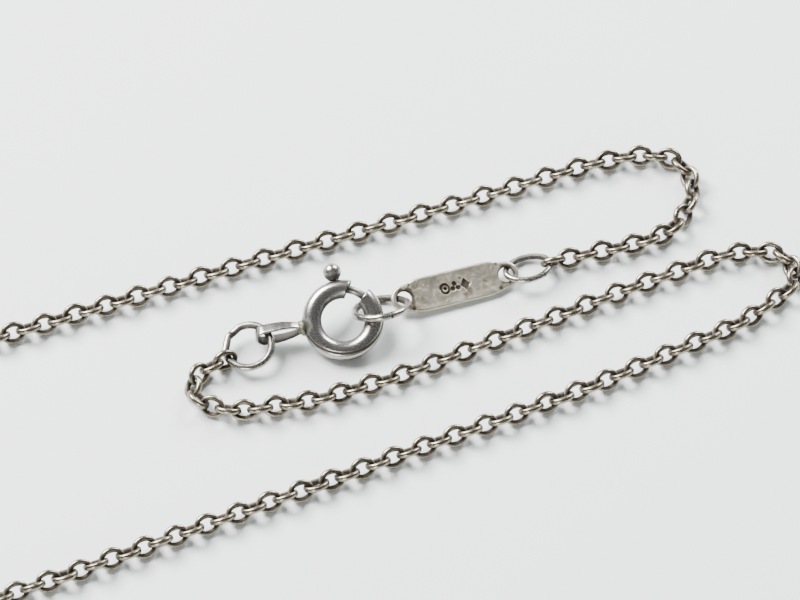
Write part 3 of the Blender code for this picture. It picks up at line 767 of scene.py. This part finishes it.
# %% [markdown]
# ## Tab
#
# The tab is a flat strip bent back on itself to a loop, and soldered to the tube's side. The ring of
# the chain passes through its nose. The section is a strip with rounded edges, carried along the loop.
# The solder is a lumpy fillet between the two, duller than the metal it joins.

# %% Strip loop and solder
TAB_ANGLE, TAB_ROLL = math.radians(TAB_BEARING), math.radians(35)
TAB_START, TAB_LENGTH, TAB_HEIGHT, TAB_ROOT, TAB_STRIP = 3.19, 3.75, 1.5, 1.2, 0.22
TAB_HALF, ROOT_HALF = 0.44, 0.25
STRIP_STEPS, STRIP_SIDES = 60, 20


def tab_line(count):
    """The middle of the strip, from the root out along the top, round the nose and back."""
    nose = (TAB_HEIGHT - TAB_STRIP) / 2
    root = (TAB_ROOT - TAB_STRIP) / 2
    middle = TAB_LENGTH - TAB_HEIGHT / 2
    bend = [(middle + nose * math.cos(a), nose * math.sin(a)) for a in np.radians(np.linspace(80, -80, 15))]
    top = [(0.0, root - 0.3), (0.3, root - 0.16), (0.8, root + 0.02), (1.5, root + 0.15), (2.2, nose + 0.02)]
    corners = top + bend + [(x, -y) for x, y in reversed(top)]
    corners = np.array(corners)
    walked = np.concatenate([[0], np.cumsum(np.linalg.norm(np.diff(corners, axis=0), axis=1))])
    goals = np.linspace(0, walked[-1], count)
    return np.stack([np.interp(goals, walked, corners[:, j]) for j in (0, 1)], axis=1)


def rounded_strip(half_wide, half_thick):
    section = circle(STRIP_SIDES, 0.01)
    return np.sign(section) * np.abs(section) ** 0.4 * [half_thick, half_wide]


flat_line = tab_line(STRIP_STEPS)
ahead = np.gradient(flat_line, axis=0)
ahead /= np.linalg.norm(ahead, axis=1, keepdims=True)
outs = np.stack([-ahead[:, 1], ahead[:, 0], 0 * ahead[:, 0]], axis=1)
line = np.concatenate([flat_line, np.zeros((STRIP_STEPS, 1))], axis=1)
half_wide = ROOT_HALF + (TAB_HALF - ROOT_HALF) * np.clip(flat_line[:, 0] / 2.2, 0, 1) ** 0.8
strip = round_net(line, outs, np.tile([0.0, 0.0, -1.0], (STRIP_STEPS, 1)),
                  np.stack([rounded_strip(wide, TAB_STRIP / 2) for wide in half_wide]))
stood = np.array(Matrix.Rotation(TAB_ANGLE, 3, "Z") @ Matrix.Rotation(math.pi / 2 + TAB_ROLL, 3, "X"))
root_place = np.array([TAB_START * math.cos(TAB_ANGLE), TAB_START * math.sin(TAB_ANGLE), 0])
inside = np.clip(0.4 - circle(STRIP_SIDES, 0.01)[None, :, 0], 0, 1)
station = np.arange(STRIP_STEPS)[:, None]
at_seam = np.exp(-((station - 44) / 0.9) ** 2)
# Painted shade: the strip's lower leg, from the nose back to the root, is darker all along.
lower_leg_shade = 0.35 * (station > 34)
work = Metalwork()
work.add(on_clasp(strip.reshape(-1, 3) @ stood.T + root_place),
         net_faces(STRIP_STEPS, STRIP_SIDES) + net_ends(STRIP_STEPS, STRIP_SIDES),
         np.clip(0.9 * inside + at_seam + lower_leg_shade, 0, 1), 0.2)


def solder_lump(radii, seed):
    """A ball pushed about by noise."""
    rows, columns = 16, 24
    down = np.pi * (np.arange(rows) + 0.5)[:, None] / rows
    round_ = 2 * np.pi * np.arange(columns)[None, :] / columns
    ball = np.stack([np.sin(down) * np.cos(round_), np.sin(down) * np.sin(round_), np.cos(down) + 0 * round_],
                    axis=-1).reshape(-1, 3)
    lumps = np.array([noise.noise(Vector(p * 1.7 + seed)) for p in ball])
    faces = net_faces(rows, columns) + net_ends(rows, columns)
    return ball * radii * (1 + 0.22 * lumps[:, None]), faces


work.finish("clasp_tab_strip", clasp_silver, "clasp", "clasp_tab", slot="clasp_metal")
lump, lump_faces = solder_lump(np.array([0.42, 0.6, 0.6]), 2.0)
work = Metalwork()
work.add(on_clasp(lump @ stood.T + root_place), lump_faces, 0.35, 0.5)
work.finish("clasp_tab_solder", solder, "clasp", "clasp_tab", slot="clasp_metal")

# %% [markdown]
# ## The tag
#
# The tag was stamped from sheet, so its rims are softly rounded, its field is a little hollow, and its
# shoulders are nicked where the die met them. Heights like these are easiest as a field: many points
# over the outline, and a height for each one. A constrained triangulation fills the outline and leaves
# the two holes open. The top and bottom share the same points in plan, so they close at the rim.
#
# Such tags carry a stamp of some kind. This one has three plain ornaments: a dotted oval, a trefoil and a
# lozenge, sunk and darkened as old punch marks are.

# %% Tag outline
TAG_CENTRE = (21.79, 9.38, 0.84)
TAG_LENGTH, TAG_WIDTH, TAG_THICKNESS, TAG_EAR = 10.4, 2.78, 0.38, 1.08
TAG_SHOULDER, TAG_NECK, HOLE_AT = 2.95, 3.9, 4.15


def rounded_line(corners, spacing):
    """A closed outline through corners, softened, with points at even steps."""
    corners = np.array(corners)
    for _ in range(3):
        ahead = np.roll(corners, -1, axis=0)
        corners = np.stack([0.78 * corners + 0.22 * ahead, 0.22 * corners + 0.78 * ahead], axis=1)
        corners = corners.reshape(-1, 2)
    loop = np.concatenate([corners, corners[:1]])
    walked = np.concatenate([[0], np.cumsum(np.linalg.norm(np.diff(loop, axis=0), axis=1))])
    goals = np.arange(0, walked[-1] - spacing / 2, spacing)
    return np.stack([np.interp(goals, walked, loop[:, j]) for j in (0, 1)], axis=1)


def tag_corners():
    half, side = TAG_LENGTH / 2, TAG_WIDTH / 2
    ear = turn_points(TAG_EAR, -80, 80, 11, (half - TAG_EAR, 0))
    right = [(0, -side), (1.6, -side), (TAG_SHOULDER, -side), (TAG_NECK, -TAG_EAR), *ear,
             (TAG_NECK, TAG_EAR), (TAG_SHOULDER, side), (1.6, side)]
    return right + [(-x, -y) for x, y in right]


SPACING, HOLE_SHOWN = 0.075, 0.58
outline = rounded_line(tag_corners(), SPACING)
holes = [circle(52) * HOLE_SHOWN + [side * HOLE_AT, 0] for side in (-1, 1)]
print("tag outline:", len(outline), "points")


# %% Distances
def distance_to(points, loop):
    """The distance from each point to a closed line."""
    a, b = loop, np.roll(loop, -1, axis=0)
    best = np.full(len(points), 1e9)
    for start, end in zip(a, b):
        way = end - start
        t = np.clip(((points - start) @ way) / (way @ way), 0, 1)
        best = np.minimum(best, np.linalg.norm(points - start - t[:, None] * way, axis=1))
    return best


def inside_of(points, loop):
    """True for points inside a closed line."""
    a, b = loop, np.roll(loop, -1, axis=0)
    x, y = points[:, :1], points[:, 1:]
    crosses = (a[:, 1] > y) != (b[:, 1] > y)
    at = (b[:, 0] - a[:, 0]) * (y - a[:, 1]) / np.where(b[:, 1] == a[:, 1], 1, b[:, 1] - a[:, 1]) + a[:, 0]
    return (crosses & (x < at)).sum(axis=1) % 2 == 1


# %% Fill the outline with points
def grid(low, high, spacing):
    xs = np.arange(low[0], high[0], spacing)
    ys = np.arange(low[1], high[1], spacing * 0.87)
    points = [(x + spacing / 2 * (j % 2), y) for j, y in enumerate(ys) for x in xs]
    return np.array(points)


MARKS_LOW, MARKS_HIGH = np.array([-1.25, -0.62]), np.array([1.25, 0.62])
field = grid((-5.3, -1.5), (5.3, 1.5), SPACING)
fine = grid(MARKS_LOW, MARKS_HIGH, 0.034)
in_marks = ((field > MARKS_LOW) & (field < MARKS_HIGH)).all(axis=1)
field = np.concatenate([field[~in_marks], fine])
edge_gap = np.minimum(distance_to(field, outline), np.minimum(*(distance_to(field, h) for h in holes)))
keep = inside_of(field, outline) & (edge_gap > 0.03)
for hole in holes:
    keep &= ~inside_of(field, hole)
field = field[keep]

constraints, first = [], 0
for loop in (outline, *holes):
    count = len(loop)
    constraints += [(first + i, first + (i + 1) % count) for i in range(count)]
    first += count
plan = np.concatenate([outline, *holes, field])
result = delaunay_2d_cdt([Vector(p) for p in plan], constraints, [], 0, 1e-6)
plan = np.array([tuple(p) for p in result[0]])
middles = np.array([plan[list(f)].mean(axis=0) for f in result[2]])
solid = inside_of(middles, outline)
for hole in holes:
    solid &= ~inside_of(middles, hole)
triangles = [tuple(f) for f, is_solid in zip(result[2], solid) if is_solid]
print("tag:", len(plan), "points,", len(triangles), "triangles a side")


# %% Heights and masks
def soft(value, low, high):
    t = np.clip((value - low) / (high - low), 0, 1)
    return t * t * (3 - 2 * t)


def punch_marks(points):
    """How deep each point lies in the punched marks, from 0 to 1."""
    x, y = points[:, 0], points[:, 1]
    x = x + 0.05 * y
    seal = np.abs(np.hypot((x + 0.82) / 0.9, y) - 0.36) - 0.085
    dot = np.hypot(x + 0.82, y) - 0.12
    trefoil = np.full(len(x), 9.0)
    for lobe in np.radians((90, 210, 330)):
        trefoil = np.minimum(trefoil, np.hypot(x - 0.24 * math.cos(lobe), y - 0.24 * math.sin(lobe)) - 0.185)
    lozenge = (np.abs(x - 0.82) / 0.75 + np.abs(y) - 0.5) * 0.7
    shape = np.minimum(np.minimum(seal, dot), np.minimum(trefoil, lozenge))
    return 1 - soft(shape, -0.03, 0.045)


def lumps(points, scale, seed):
    return np.array([noise.noise(Vector((x * scale, y * scale, seed))) for x, y in points])


rim_gap = distance_to(plan, outline)
hole_gap = np.minimum(*(distance_to(plan, h) for h in holes))
rounding = np.sqrt(1 - (1 - np.clip(rim_gap / 0.16, 0, 1)) ** 2)
rounding *= np.sqrt(1 - (1 - np.clip(hole_gap / 0.12, 0, 1)) ** 2)
hollow = 0.05 * soft(rim_gap, 0.1, 0.75) * soft(4.1 - np.abs(plan[:, 0]), 0, 1.2)
nicks = sum(np.exp(-(np.hypot(plan[:, 0] - x, plan[:, 1] - y) / 0.13) ** 2)
            for x, y in ((-3.55, 0.95), (3.5, -0.98), (-3.6, -1.0), (3.55, 1.0)))
dents = lumps(plan, 0.8, 3.0) * 0.07 + lumps(plan, 2.4, 8.0) * 0.025
marks = punch_marks(plan)
top = TAG_THICKNESS / 2 * rounding - hollow + dents * rounding - 0.13 * marks - 0.07 * nicks
bottom = -TAG_THICKNESS / 2 * rounding + 0.5 * dents * rounding
rim_walls = np.minimum(rim_gap, hole_gap) < 1e-4
top = np.where(rim_walls, 0, np.maximum(top, 0.01))
bottom = np.where(rim_walls, 0, np.minimum(bottom, -0.01))
wear = np.clip(0.22 + 0.7 * lumps(plan, 0.7, 5.0) + 0.5 * lumps(plan, 2.4, 1.0), 0, 0.6)
crevice = np.clip(1.1 * marks + 0.8 * nicks + wear * soft(rim_gap, 0.05, 0.3)
                  + 0.9 * np.exp(-hole_gap / 0.13), 0, 1)

# %% Close the tag and place it
twin = {i: len(plan) + n for n, i in enumerate(np.flatnonzero(~rim_walls))}
below = [tuple(twin.get(i, i) for i in reversed(f)) for f in triangles]
points = np.concatenate([np.column_stack([plan, top]),
                         np.column_stack([plan[~rim_walls], bottom[~rim_walls]])])
centre, axes = leaning_axes(TAG_CENTRE, 16.3, 23)
axes = axes @ np.array(Matrix.Rotation(math.radians(1.6), 3, "Y"))
work = Metalwork()
work.add(points @ axes.T + centre, triangles + below, np.concatenate([crevice, 0.5 * crevice[~rim_walls]]),
         0.0)
work.finish("quality_tag_plate", tag_silver, "quality_tag", "quality_tag", slot="tag_metal")
